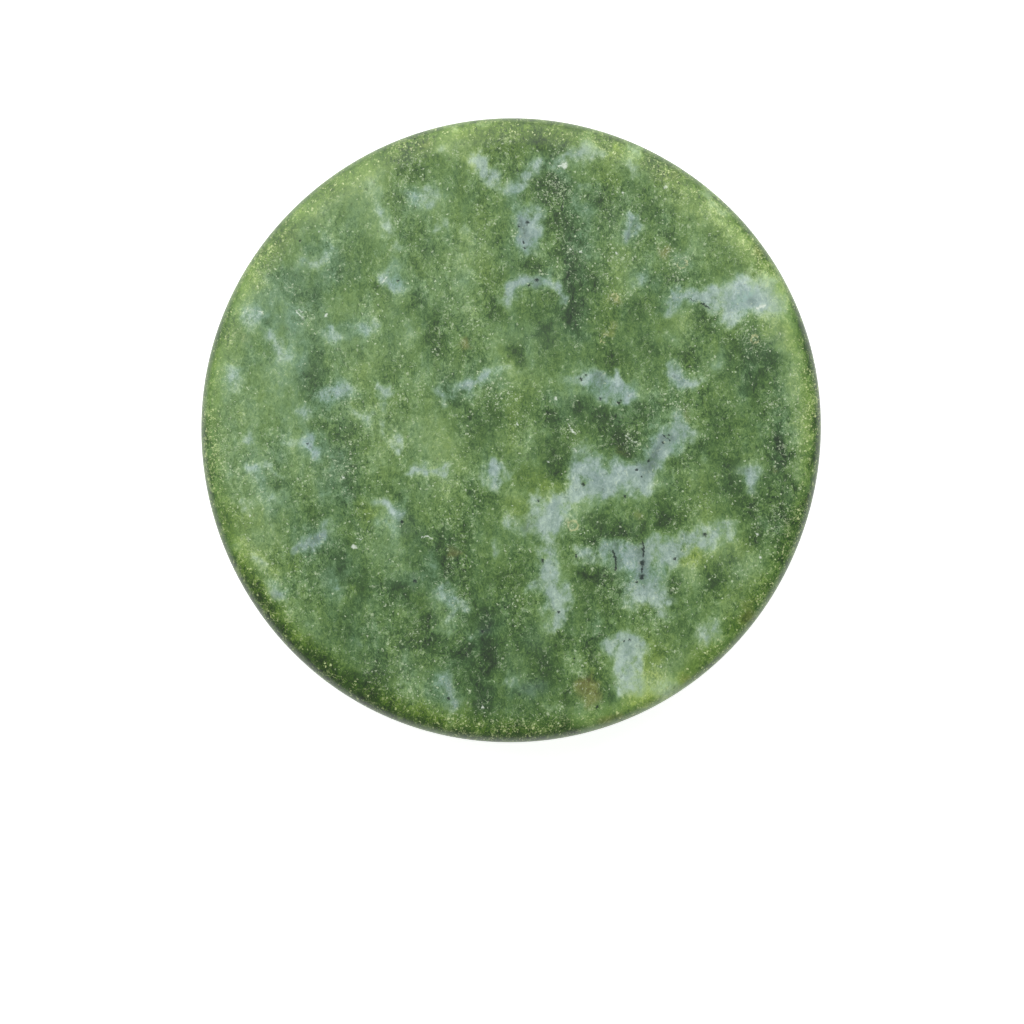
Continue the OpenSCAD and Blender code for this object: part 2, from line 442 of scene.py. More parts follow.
DARK = (
    ([(4.4, 16.8), (4.7, 14.6), (4.9, 12.0), (5.0, 9.4)], 0.85, 0.50),
    ([(2.2, 19.8), (4.0, 19.5)], 0.80, 0.50),
    ([(6.8, 18.1)], 0.55, 0.60),
    ([(7.8, 17.0)], 0.90, 0.32),
    ([(11.0, 17.6)], 0.90, 0.34),
    ([(3.0, 16.5)], 0.60, 0.34),
    ([(-6.0, 8.6), (-6.2, 6.8)], 0.62, 0.50),
    ([(-7.4, 10.3)], 0.55, 0.50),
    ([(-1.5, 10.2), (-1.5, 9.0)], 0.45, 0.45),
    ([(0.1, 6.1), (0.5, 5.5)], 0.50, 0.62),
    ([(2.6, 8.0), (2.8, 7.2)], 0.60, 0.45),
    ([(5.0, 8.5)], 0.90, 0.55),
    ([(-5.0, 4.6)], 0.55, 0.42),
    ([(-4.3, 3.0), (-4.6, 2.2)], 0.42, 0.52),
    ([(-3.4, 1.0)], 0.62, 0.50),
    ([(-1.2, 1.6), (-2.8, -0.4)], 0.70, 0.34),
    ([(3.4, 1.0), (3.5, -0.6), (3.4, -2.0), (3.6, -3.4)], 0.62, 0.58),
    ([(5.4, 1.8)], 0.60, 0.50),
    ([(7.4, 0.8)], 0.85, 0.55),
    ([(8.4, -0.6), (9.4, -1.4), (9.8, -2.2)], 0.62, 0.65),
    ([(10.6, 1.6)], 0.80, 0.30),
    ([(6.6, -7.4), (8.4, -8.2), (10.2, -7.9)], 0.55, 0.52),
    ([(12.6, -6.8)], 0.85, 0.55),
    ([(12.8, -4.6)], 0.42, 0.42),
    ([(5.8, -11.5), (7.4, -11.9), (8.8, -12.2)], 0.65, 0.60),
    ([(12.8, -12.4)], 0.62, 0.60),
    ([(16.0, -12.4), (16.8, -11.2), (17.4, -10.8)], 0.72, 0.62),
    ([(14.2, -16.2)], 0.45, 0.42),
    ([(13.2, -18.7)], 0.75, 0.36),
    ([(7.0, -16.4), (6.4, -17.8), (7.2, -18.6)], 0.52, 0.50),
    ([(2.6, -17.6), (3.0, -19.4)], 0.95, 0.55),
    ([(7.6, -20.6), (7.8, -21.4)], 0.45, 0.42),
    ([(4.7, -21.2), (4.8, -22.6), (4.4, -24.0)], 0.50, 0.48),
    ([(-2.0, -14.8), (-2.2, -16.4), (-1.8, -18.0)], 0.62, 0.58),
    ([(-1.8, -18.0), (-2.2, -20.0), (-2.4, -22.4)], 0.68, 0.62),
    ([(-3.7, -17.8)], 0.52, 0.62),
    ([(-3.2, -13.9)], 0.75, 0.45),
    ([(-1.0, -12.0), (0.6, -12.0)], 0.85, 0.34),
    ([(-6.6, -15.4)], 0.38, 0.52),
    ([(-7.8, -16.6), (-7.1, -17.0)], 0.58, 0.52),
    ([(-9.1, -12.6), (-8.8, -13.2)], 0.52, 0.52),
    ([(-7.5, -8.6), (-8.2, -7.8)], 0.62, 0.50),
    ([(-5.6, -9.0), (-5.2, -11.2)], 0.55, 0.42),
    ([(-14.0, -10.0), (-13.6, -11.4), (-12.6, -12.4)], 0.85, 0.40),
    ([(-11.1, -19.9), (-10.8, -20.8)], 0.68, 0.60),
    ([(-11.4, -18.6)], 0.65, 0.32),
    ([(-13.2, -2.4), (-13.6, -3.6), (-13.0, -5.0)], 0.80, 0.40),
    ([(-13.8, -0.6)], 0.75, 0.32),
    ([(-19.2, -3.7), (-18.8, -4.4)], 0.45, 0.40),
    ([(-19.1, -6.7)], 0.42, 0.55),
    ([(-13.5, 12.8)], 0.85, 0.45),
    ([(-16.2, 10.8)], 0.85, 0.45),
    ([(-17.7, 12.0)], 0.90, 0.34),
    ([(-10.9, 11.0)], 0.52, 0.45),
    ([(-15.9, 8.6), (-15.6, 6.2)], 0.52, 0.40),
    ([(-16.0, 5.2), (-15.8, 4.0), (-15.8, 2.8)], 0.72, 0.60),
    ([(-19.5, 8.9)], 0.42, 0.50),
    ([(-12.5, 6.0)], 0.85, 0.30),
    ([(20.3, 6.6), (20.6, 5.0), (19.6, 4.0)], 0.90, 0.55),
    ([(18.6, 6.0)], 0.80, 0.34),
    ([(21.5, -0.8), (21.8, -2.4)], 0.65, 0.62),
    ([(17.6, -4.3)], 0.85, 0.40),
    ([(16.3, 0.8)], 0.90, 0.34),
    ([(11.2, 6.6)], 0.65, 0.42),
    ([(10.0, 9.8)], 0.85, 0.34),
    ([(15.5, 8.9)], 0.80, 0.36),
    ([(14.4, 6.2)], 0.62, 0.40),
    ([(13.2, -2.6)], 0.70, 0.36),
    ([(18.8, -6.4)], 0.90, 0.36),
    ([(19.2, -9.1), (19.8, -8.3)], 0.62, 0.50),
    ([(12.9, 12.2)], 0.80, 0.36),
    ([(14.9, 13.8)], 0.42, 0.42),
    ([(12.5, 15.7)], 0.42, 0.42),
    ([(6.4, 12.0)], 0.80, 0.36),
    ([(16.4, 15.2)], 0.70, 0.30),
    ([(-7.2, 21.3)], 0.85, 0.25),
    ([(2.0, 23.8)], 0.50, 0.28),
    # broad and faint: partly the stone's own darker clouds and partly painted shade, darker on the
    # near side, on the right and along the rolled edge
    ([(-23.2, 9.4), (-24.5, 4.0), (-24.6, -1.0), (-24.0, -5.6), (-22.8, -9.4)], 0.55, 0.48),
    ([(-22.4, -10.6), (-17.8, -17.2), (-10.4, -22.4), (-2.0, -24.6), (4.0, -24.4)], 0.60, 0.44),
    ([(23.0, 10.2), (24.6, 4.0), (24.7, -1.0), (24.0, -6.4)], 0.45, 0.45),
    ([(-22.4, 7.8)], 0.70, 0.25),
    ([(-8.6, 20.8)], 0.70, 0.25),
    ([(1.0, 12.8)], 0.80, 0.40),
    ([(0.6, 20.6)], 0.70, 0.28),
    ([(4.0, 22.0)], 0.80, 0.45),
    ([(8.4, 5.6)], 0.80, 0.40),
    ([(4.9, -3.0)], 0.70, 0.40),
    ([(19.2, -4.6)], 1.00, 0.25),
    ([(-4.4, -9.0), (-4.0, -12.2)], 0.90, 0.25),
    ([(-8.6, -19.6)], 1.00, 0.28),
    ([(6.0, -20.0)], 0.80, 0.30),
    ([(13.8, 5.6)], 0.80, 0.22),
    ([(2.6, 5.4), (2.2, 9.0)], 0.70, 0.25),
    ([(-21.8, -11.8), (-18.2, -16.6), (-13.8, -20.4), (-9.6, -22.8)], 0.90, 0.35),
    ([(23.8, -4.0), (22.8, -8.6), (20.8, -13.2)], 0.70, 0.28),
    ([(22.8, 9.8), (23.9, 6.4)], 0.60, 0.25),
    ([(-6.0, -12.0), (-5.0, -16.6), (-3.6, -19.4)], 1.60, 0.28),
    ([(-8.6, -16.8), (-6.4, -18.4)], 1.20, 0.22),
    ([(7.6, -9.0)], 0.80, 0.30),
    ([(17.6, -3.0), (20.6, -3.4)], 1.20, 0.22),
    ([(16.2, 8.2)], 0.80, 0.25),
    ([(0.8, 7.0)], 0.60, 0.25),
    ([(0.4, -15.2), (0.8, -20.0), (1.4, -23.6)], 1.50, 0.35),
    ([(-8.6, -14.2), (-11.2, -12.4)], 1.10, 0.25),
    ([(-13.0, -15.8)], 1.00, 0.25),
    ([(-3.2, -1.6)], 0.80, 0.25),
    ([(-1.6, -5.2)], 0.60, 0.25),
    ([(-9.0, 18.4)], 0.70, 0.40),
    ([(-7.6, 15.2), (-6.4, 13.6)], 0.80, 0.25),
    ([(-15.7, 0.6)], 0.60, 0.30),
    ([(-9.8, 0.4)], 0.60, 0.28),
    ([(-9.8, 6.6), (-9.6, 4.8)], 0.70, 0.25),
    ([(-2.6, 22.6)], 0.70, 0.25),
    ([(1.7, 13.2)], 0.70, 0.48),
    ([(2.4, 18.4)], 0.80, 0.30),
    ([(-12.6, -16.8), (-10.0, -18.6)], 1.30, 0.20),
    ([(2.6, 10.6), (4.8, 10.6)], 0.70, 0.35),
    ([(7.6, 5.0)], 1.00, 0.35),
    ([(17.2, 4.4), (18.2, 6.4)], 1.00, 0.30),
    ([(10.8, 16.2)], 0.60, 0.35),
    ([(5.8, 19.0)], 0.70, 0.30),
    ([(20.6, 1.6)], 0.90, 0.30),
    ([(4.9, -2.0)], 0.90, 0.40),
    ([(12.8, -13.2), (13.4, -15.2)], 0.80, 0.42),
    ([(4.4, -16.8)], 0.70, 0.40),
    ([(2.4, -8.8), (4.0, -9.0)], 0.70, 0.32),
    ([(6.8, -9.6)], 0.70, 0.35),
    ([(17.4, -2.4)], 0.90, 0.28),
    ([(21.8, -4.4)], 0.80, 0.28),
    ([(8.6, -14.0), (6.2, -13.6)], 0.70, 0.25),
    ([(-13.0, 0.0)], 0.90, 0.28),
    ([(14.8, -1.2)], 0.90, 0.40),
    ([(11.6, -4.4)], 0.60, 0.25),
    ([(6.8, -8.8)], 0.80, 0.30),
    ([(18.4, 13.0)], 0.80, 0.30),
    ([(22.2, -4.6), (21.6, -6.8)], 0.90, 0.30),
    ([(-15.8, -7.2)], 0.70, 0.25),
    ([(3.2, 21.8), (2.4, 23.0)], 0.80, 0.32),
    ([(-0.8, 21.9)], 0.70, 0.30),
    ([(8.2, -20.8)], 0.80, 0.32),
    ([(-0.6, -2.0)], 0.70, 0.22),
)
LIGHT = (
    ([(-8.4, 7.4)], 1.10, 0.40),
    ([(-4.4, 14.2), (-4.2, 12.6)], 0.80, 0.35),
    ([(-6.4, 11.2)], 0.90, 0.30),
    ([(-7.6, -0.4), (-6.2, -1.6), (-5.0, -2.0)], 1.50, 0.45),
    ([(-10.6, -2.4)], 1.10, 0.40),
    ([(-5.4, -5.0)], 0.80, 0.35),
    ([(-18.2, 6.0), (-18.8, 4.4)], 0.90, 0.40),
    ([(21.4, 8.6), (21.0, 9.6)], 0.85, 0.55),
    ([(13.8, 8.8)], 0.85, 0.40),
    ([(16.4, 5.6)], 0.90, 0.34),
    ([(9.6, 12.6)], 1.00, 0.30),
    ([(15.5, -6.6)], 1.00, 0.35),
    ([(14.8, -3.6)], 0.80, 0.34),
    ([(11.8, -4.3)], 0.52, 0.60),
    ([(-10.4, -9.4)], 1.10, 0.35),
    ([(-8.4, -18.0), (-8.4, -19.4), (-7.2, -20.8)], 0.95, 0.45),
    ([(-1.0, 7.0), (1.0, 7.6)], 0.75, 0.35),
    ([(-15.4, 17.0)], 1.00, 0.40),
    ([(-17.2, 14.6)], 0.80, 0.34),
    ([(-12.0, 16.0)], 1.20, 0.28),
    ([(-7.2, 13.8)], 1.00, 0.24),
    ([(14.2, -11.2)], 0.90, 0.55),
    ([(-11.0, 5.0)], 1.00, 0.24),
    # broad and faint: on the left, partly the stone's own lighter clouds and partly a painted
    # reflection, the pale veil that makes the left and the top lighter
    ([(-23.4, 6.0), (-23.6, 3.0), (-23.6, 0.0), (-23.4, -2.6), (-22.8, -6.0)], 1.60, 0.42),
    ([(-20.8, 11.4), (-21.6, 9.0)], 1.30, 0.40),
    ([(-15.0, 17.2), (-12.6, 19.4), (-11.6, 20.6)], 1.50, 0.38),
    ([(-18.0, 8.6), (-16.0, 8.2)], 1.10, 0.40),
    ([(-17.0, 12.4), (-13.4, 13.2)], 0.90, 0.30),
    ([(-20.8, -2.6), (-20.4, -4.6), (-19.4, -6.4)], 1.30, 0.42),
    ([(-16.4, -2.0), (-15.6, -4.0)], 1.20, 0.35),
    ([(-20.0, -9.0), (-20.6, -11.2)], 1.00, 0.32),
    ([(-10.6, -7.2), (-8.2, -8.2)], 0.80, 0.38),
    ([(-16.5, 5.0), (-13.0, 4.6)], 1.10, 0.25),
    ([(-4.2, 11.6), (-3.8, 9.2)], 0.80, 0.35),
    ([(-5.4, 23.4), (-3.4, 23.6)], 1.00, 0.35),
    ([(-3.4, 15.4), (-3.0, 13.8)], 0.80, 0.25),
    ([(-9.6, 13.0), (-9.4, 9.8)], 0.70, 0.28),
    ([(-11.6, 2.0), (-12.8, 6.8)], 0.90, 0.25),
    ([(-7.2, -4.6)], 0.90, 0.35),
    ([(-17.4, -14.8), (-15.6, -16.4)], 0.80, 0.30),
    ([(-11.4, -18.8)], 0.70, 0.30),
    ([(-8.0, -22.2)], 0.80, 0.30),
    ([(-5.4, -14.0)], 0.60, 0.30),
    ([(-19.6, 11.0), (-17.0, 9.6)], 1.50, 0.30),
    ([(-13.2, 1.2), (-11.8, 0.6)], 0.90, 0.22),
    ([(-17.0, 2.0), (-17.0, -3.0)], 1.60, 0.18),
    ([(-12.2, 19.4)], 1.30, 0.30),
    ([(-4.2, 23.8), (-3.2, 21.0)], 0.90, 0.38),
    ([(-5.6, -14.2)], 0.70, 0.35),
    ([(-10.6, -6.2)], 0.80, 0.15),
    ([(-5.2, 4.6), (-8.4, 3.4)], 0.80, 0.22),
    ([(-0.6, -1.2)], 0.80, 0.25),
    ([(-22.4, 6.4), (-22.0, 2.0)], 1.20, 0.28),
    ([(-19.4, 4.6), (-18.4, 2.4)], 1.00, 0.25),
    ([(-12.8, 0.8)], 0.70, 0.35),
    ([(-13.6, 9.6), (-10.4, 9.6)], 1.10, 0.30),
    ([(-12.0, 18.4)], 1.00, 0.30),
    ([(-22.6, -8.4), (-20.2, -10.2)], 0.90, 0.38),
    ([(-14.4, -11.6)], 0.80, 0.30),
    ([(-5.2, 5.2)], 0.80, 0.25),
    # broad and faint: on the right, partly the stone's own lighter clouds and partly a painted
    # reflection veil
    ([(20.2, 10.8)], 0.90, 0.15),
    # A painted highlight: part of the bright band along the right rolled edge.
    ([(22.0, 7.2), (22.6, 3.2)], 0.80, 0.40),
    ([(18.6, 14.6), (16.0, 16.2)], 0.80, 0.25),
    ([(3.2, 12.2)], 0.80, 0.30),
    ([(12.4, -1.2)], 0.80, 0.35),
    ([(12.0, -20.6), (12.8, -19.8)], 0.90, 0.50),
    ([(12.0, -16.0)], 0.80, 0.25),
    ([(17.6, -14.0)], 0.80, 0.28),
    ([(8.6, 22.0)], 0.70, 0.25),
    ([(10.6, -5.4)], 0.70, 0.28),
    ([(3.2, -7.0)], 0.90, 0.30),
    ([(12.2, -20.4)], 1.10, 0.75),
    ([(14.6, -11.6)], 0.80, 0.45),
    ([(-10.6, 18.8), (-10.3, 16.4)], 0.95, 0.42),
    ([(-16.8, 4.9)], 0.80, 0.40),
    ([(-6.2, 0.8)], 0.90, 0.30),
    ([(-14.0, -1.6), (-14.0, -3.4)], 0.80, 0.38),
    ([(-5.4, -15.6)], 0.70, 0.38),
    ([(-19.6, -12.2)], 0.70, 0.32),
    ([(0.9, -20.4)], 0.80, 0.32),
    ([(18.4, 10.9), (20.6, 10.9)], 1.20, 0.50),
    ([(3.4, -6.4), (5.4, -6.6)], 1.00, 0.45),
    ([(11.4, -20.8)], 1.00, 0.45),
    ([(-10.4, 0.2)], 1.10, 0.45),
    ([(-1.8, 4.4)], 0.90, 0.35),
    ([(-6.8, 18.0)], 1.20, 0.40),
    ([(19.8, 10.8)], 0.90, 0.35),
    ([(9.2, -19.2)], 1.10, 0.40),
    ([(-19.4, -8.6), (-20.2, -3.0)], 1.00, 0.28),
    ([(0.2, -18.4)], 0.80, 0.30),
    # A painted highlight: the bright band along the right rolled edge.
    ([(22.4, 8.2), (23.2, 5.0), (23.5, 1.6), (23.5, -1.6), (23.1, -4.8)], 0.70, 0.55),
    ([(20.4, 7.4), (22.0, 8.0)], 0.90, 0.40),
    ([(19.0, 14.0), (16.6, 16.8), (12.6, 18.6)], 1.00, 0.35),
    ([(17.8, 10.6), (20.8, 10.6)], 1.20, 0.35),
    ([(13.6, 13.2)], 0.80, 0.40),
    ([(9.0, 22.2)], 1.00, 0.45),
    ([(4.6, 21.6), (6.2, 22.6)], 1.00, 0.22),
    ([(8.0, 17.0), (8.8, 14.8), (8.6, 12.4)], 0.90, 0.30),
    ([(1.6, 21.8)], 0.70, 0.30),
    ([(10.2, 3.2)], 0.80, 0.40),
    ([(0.6, 4.6), (3.2, 7.6)], 0.90, 0.30),
    ([(4.8, 2.8)], 0.70, 0.30),
    ([(16.4, -9.4), (18.6, -11.0)], 0.90, 0.45),
    ([(9.2, -11.4)], 0.60, 0.40),
    ([(5.6, -6.8)], 0.80, 0.38),
    ([(3.8, -11.6)], 0.60, 0.30),
    ([(2.4, -15.4), (2.2, -17.2)], 0.60, 0.40),
    ([(9.8, -20.8), (12.4, -20.0), (13.4, -19.4)], 1.10, 0.70),
    ([(5.4, -23.2), (7.8, -22.6), (9.6, -22.2)], 0.80, 0.46),
    ([(16.4, -16.4)], 0.70, 0.25),
    ([(0.2, -5.4)], 0.70, 0.40),
    ([(1.4, -1.4)], 1.00, 0.38),
    ([(-14.6, 6.8), (-12.0, 7.2), (-9.8, 5.8)], 1.00, 0.35),
    ([(-17.4, 13.0)], 1.00, 0.34),
    ([(-2.6, 15.6), (-1.8, 14.0)], 0.90, 0.28),
    ([(14.8, 14.4)], 0.80, 0.38),
    ([(1.6, 3.6)], 0.80, 0.26),
    ([(9.8, -7.6)], 0.60, 0.28),
    ([(17.2, -9.6), (19.0, -11.8)], 0.90, 0.32),
    ([(-20.8, 1.2)], 1.10, 0.28),
    ([(-9.2, -8.0)], 0.80, 0.30),
    ([(-9.4, -11.4)], 0.80, 0.28),
    ([(19.2, -3.0)], 0.80, 0.34),
    ([(13.2, 7.2)], 0.80, 0.26),
    ([(12.4, -20.6)], 0.80, 0.35),
)
LIME = (
    ([(-20.4, 11.7), (-21.4, 10.8)], 0.80, 0.35),
    ([(14.6, -10.3)], 0.85, 0.50),
    ([(0.2, -5.6), (1.0, -6.2)], 0.58, 0.30),
    ([(-3.4, 20.5)], 0.70, 0.42),
    ([(-3.4, 23.8), (0.0, 24.2), (4.0, 23.6)], 0.65, 0.40),
    ([(7.8, 22.4), (8.0, 23.3)], 0.65, 0.52),
    ([(9.2, -22.1), (10.8, -21.7), (12.2, -21.4)], 0.65, 0.40),
    ([(11.0, -19.4)], 0.75, 0.45),
    ([(11.6, -18.2), (11.2, -16.9)], 0.70, 0.38),
    ([(13.9, -20.0)], 0.50, 0.60),
    ([(-11.5, -6.2)], 0.52, 0.55),
    ([(-17.6, -9.7)], 0.42, 0.42),
    ([(-12.7, -13.2)], 0.42, 0.55),
    ([(3.0, -4.5)], 0.80, 0.34),
    ([(10.6, -14.2)], 0.42, 0.65),
    ([(16.6, 6.7)], 0.55, 0.42),
    ([(16.4, -7.0)], 0.55, 0.42),
    ([(18.5, -2.0)], 0.52, 0.38),
    ([(-22.6, -7.2)], 0.80, 0.25),
    ([(12.6, 20.3)], 0.80, 0.36),
    ([(2.6, 10.7)], 0.60, 0.34),
    ([(-16.0, 17.2)], 0.60, 0.30),
    # Painted shade: the dark olive of the rolled edge on the near left, its shaded side.
    ([(-21.8, -11.4), (-18.2, -16.6), (-13.6, -20.4), (-8.6, -22.9), (3.6, -24.4)], 0.75, 0.72),
)
# Broad zones where the green leans to yellow: the stone's own tint, and along the rim painted light
# and shade, the olive of the rolled edge and the yellowish bright band on the right.
WARM = (
    ([(-15.2, 18.8), (-12.4, 20.6), (-9.6, 21.8)], 1.40, 0.70),
    ([(-6.4, 23.2), (-3.6, 23.4), (-0.6, 23.6), (2.4, 23.6), (5.0, 23.6)], 1.30, 0.90),
    ([(-3.4, 21.8), (-0.4, 22.2)], 0.80, 0.60),
    ([(7.4, 22.6), (7.8, 20.4)], 0.80, 0.80),
    ([(10.6, 21.6), (12.6, 20.0), (14.4, 18.2)], 1.00, 0.80),
    ([(16.2, 16.6), (18.6, 14.2), (20.6, 12.2)], 1.10, 0.80),
    ([(17.0, 13.6)], 1.20, 0.45),
    ([(20.2, 8.4), (22.4, 7.2)], 0.90, 0.70),
    # Along the right rim: a painted highlight, the yellowish bright band of the rolled edge.
    ([(23.4, 5.2), (23.6, 1.4), (23.4, -2.4)], 0.80, 0.60),
    ([(13.4, 8.8)], 0.90, 0.70),
    ([(8.8, 14.2), (8.6, 12.6), (7.2, 9.4), (7.4, 7.4)], 0.85, 0.60),
    ([(-2.2, 17.4), (-3.4, 14.6), (-1.6, 12.4)], 1.10, 0.50),
    ([(-12.0, 5.2), (-11.8, 2.4)], 0.90, 0.55),
    ([(-10.6, -0.8), (-7.6, 1.0), (-5.0, 0.0), (-4.6, -2.6), (-5.4, -5.4)], 1.40, 0.42),
    ([(-10.0, -3.6)], 0.90, 0.45),
    ([(-11.8, -6.2)], 0.70, 0.75),
    ([(-0.8, 5.6), (1.2, 4.4), (1.6, 3.6)], 0.75, 0.60),
    ([(0.4, 1.2), (0.2, -1.0)], 1.00, 0.62),
    ([(1.0, -3.6), (2.8, -4.4)], 0.80, 0.90),
    ([(-0.2, -5.6), (0.4, -6.4)], 0.60, 0.55),
    ([(15.0, -4.2), (15.6, -6.6)], 1.00, 0.55),
    ([(13.8, -10.2), (16.2, -10.4), (18.2, -9.6)], 0.80, 0.85),
    ([(17.6, -13.0), (19.4, -12.4), (18.2, -15.2)], 1.10, 0.70),
    ([(15.8, -17.4), (14.2, -19.2)], 0.90, 0.80),
    ([(11.8, -17.2), (11.2, -19.4), (10.2, -21.6)], 0.95, 0.80),
    ([(6.2, -20.6), (6.4, -19.6)], 0.90, 0.70),
    # Along the near left rim: painted shade, the olive of the rolled edge on its shaded side.
    ([(-21.6, -6.8), (-21.2, -9.2), (-19.2, -10.6)], 1.20, 0.80),
    ([(-21.8, -11.2), (-18.6, -15.8), (-15.2, -18.8)], 0.90, 0.75),
    ([(-11.2, -21.4), (-8.8, -22.4), (-6.8, -23.0)], 1.00, 0.90),
    ([(-22.6, 7.8), (-23.4, 5.6)], 0.70, 0.55),
    ([(-20.8, 12.2), (-18.4, 15.6)], 0.90, 0.70),
    ([(-13.6, 9.8)], 0.80, 0.40),
    ([(5.4, -0.4)], 0.60, 0.30),
    ([(0.4, -11.8)], 0.90, 0.35),
)
# Broad zones where it leans to blue.
COOL = (
    ([(-20.6, 9.6), (-19.0, 8.4), (-16.4, 10.4), (-18.6, 11.8)], 1.10, 0.65),
    ([(-15.0, 14.6), (-14.4, 12.2)], 0.90, 0.50),
    ([(-14.2, 8.0), (-12.4, 8.0)], 0.80, 0.65),
    ([(-16.6, 6.8), (-16.4, 3.2), (-15.0, 2.0), (-13.8, 3.0)], 1.10, 0.65),
    ([(-22.4, 4.4)], 0.80, 0.55),
    ([(-16.0, -0.8), (-13.4, -2.4), (-13.6, -5.6)], 1.20, 0.55),
    ([(-20.4, -3.0), (-18.6, -6.0)], 0.90, 0.40),
    ([(-16.8, -9.2), (-15.0, -8.6), (-13.8, -10.6), (-14.2, -12.4)], 1.00, 0.70),
    ([(-18.8, -13.0)], 0.70, 0.75),
    ([(-9.8, -6.6), (-8.8, -7.4)], 0.80, 0.75),
    ([(-9.0, -12.2), (-7.6, -11.8)], 0.90, 0.70),
    ([(-6.2, -9.8), (-5.0, -13.4), (-4.2, -14.4)], 1.00, 0.65),
    ([(-1.6, -15.6), (-2.4, -17.0), (-3.6, -18.6)], 1.30, 0.65),
    ([(-6.0, -20.4), (-5.2, -21.6)], 0.80, 0.75),
    ([(-2.4, -20.8), (-1.8, -22.6)], 0.80, 0.60),
    ([(0.4, -20.8), (2.4, -20.8)], 0.70, 0.75),
    ([(-12.4, -14.6), (-11.8, -18.0)], 1.30, 0.35),
    ([(3.4, 21.2), (4.4, 19.4), (5.6, 17.4), (5.4, 14.0), (4.8, 10.8), (5.2, 8.2)], 1.00, 0.70),
    ([(1.2, 21.0), (0.6, 19.2)], 0.70, 0.50),
    ([(1.0, 16.8), (1.1, 15.0)], 0.90, 0.90),
    ([(0.6, 11.4), (2.2, 12.0)], 0.70, 0.60),
    ([(2.6, 8.0)], 0.80, 0.45),
    ([(9.6, 16.2)], 0.70, 0.85),
    ([(10.6, 12.0), (12.0, 10.6), (14.6, 10.2)], 0.80, 0.55),
    ([(14.0, 13.2)], 0.80, 0.45),
    ([(-9.4, 12.0)], 0.70, 0.85),
    ([(-7.6, 18.4)], 0.80, 0.60),
    ([(-6.2, 9.6), (-7.8, 10.8)], 0.80, 0.40),
    ([(18.8, 10.6)], 1.20, 0.75),
    ([(19.8, 6.2), (19.2, 4.0)], 1.20, 0.50),
    ([(21.6, 0.4), (21.8, -2.2)], 0.80, 0.65),
    ([(18.6, -3.8)], 0.80, 0.70),
    ([(13.6, 4.2)], 0.75, 0.85),
    ([(6.0, 4.2), (7.0, 3.6), (9.0, 3.2)], 0.80, 0.80),
    ([(4.4, 1.2), (8.4, 1.0), (11.8, 1.2)], 1.10, 0.50),
    ([(-5.0, 2.8), (-3.4, 4.0), (-1.6, 4.4)], 0.80, 0.60),
    ([(-3.4, 0.8)], 0.80, 0.40),
    ([(6.4, -3.6), (10.0, -3.2), (12.4, -0.8)], 1.20, 0.60),
    ([(8.4, -10.0), (10.4, -11.6)], 1.30, 0.75),
    ([(-1.6, -3.4)], 0.70, 0.75),
    ([(6.4, -15.0)], 1.10, 0.25),
    ([(20.6, -7.6)], 0.90, 0.35),
)
RUST = (
    ([(4.5, -7.4)], 0.42, 0.50),
    ([(7.45, 7.3)], 0.42, 0.45),
    ([(8.1, 7.9)], 0.45, 0.42),
    ([(12.5, 14.1)], 0.48, 0.75),
    ([(8.3, 10.6)], 0.50, 0.50),
    ([(5.8, -20.2), (6.4, -21.2)], 0.75, 0.72),
    ([(-3.4, 7.4), (-3.6, 6.6)], 0.38, 0.70),
    ([(-4.6, -9.9)], 0.38, 0.62),
    ([(-7.0, 22.9)], 0.70, 0.42),
    ([(-19.5, 9.0)], 0.42, 0.34),
    ([(-21.4, 7.7)], 0.60, 0.34),
    ([(14.0, 1.1)], 0.35, 0.50),
    ([(9.3, -1.8)], 0.50, 0.42),
    ([(10.2, -6.9)], 0.42, 0.50),
    ([(21.3, -3.1)], 0.40, 0.50),
    ([(-10.6, 4.9)], 0.42, 0.32),
    ([(8.4, -23.1), (7.0, -23.5)], 0.42, 0.60),
    ([(18.6, -15.2), (19.4, -14.2)], 0.52, 0.60),
    ([(14.1, -19.8)], 0.42, 0.60),
    ([(23.5, -5.7)], 0.30, 0.50),
    ([(19.3, 14.5), (20.1, 13.8)], 0.32, 0.55),
    ([(12.6, 20.5)], 0.52, 0.38),
)
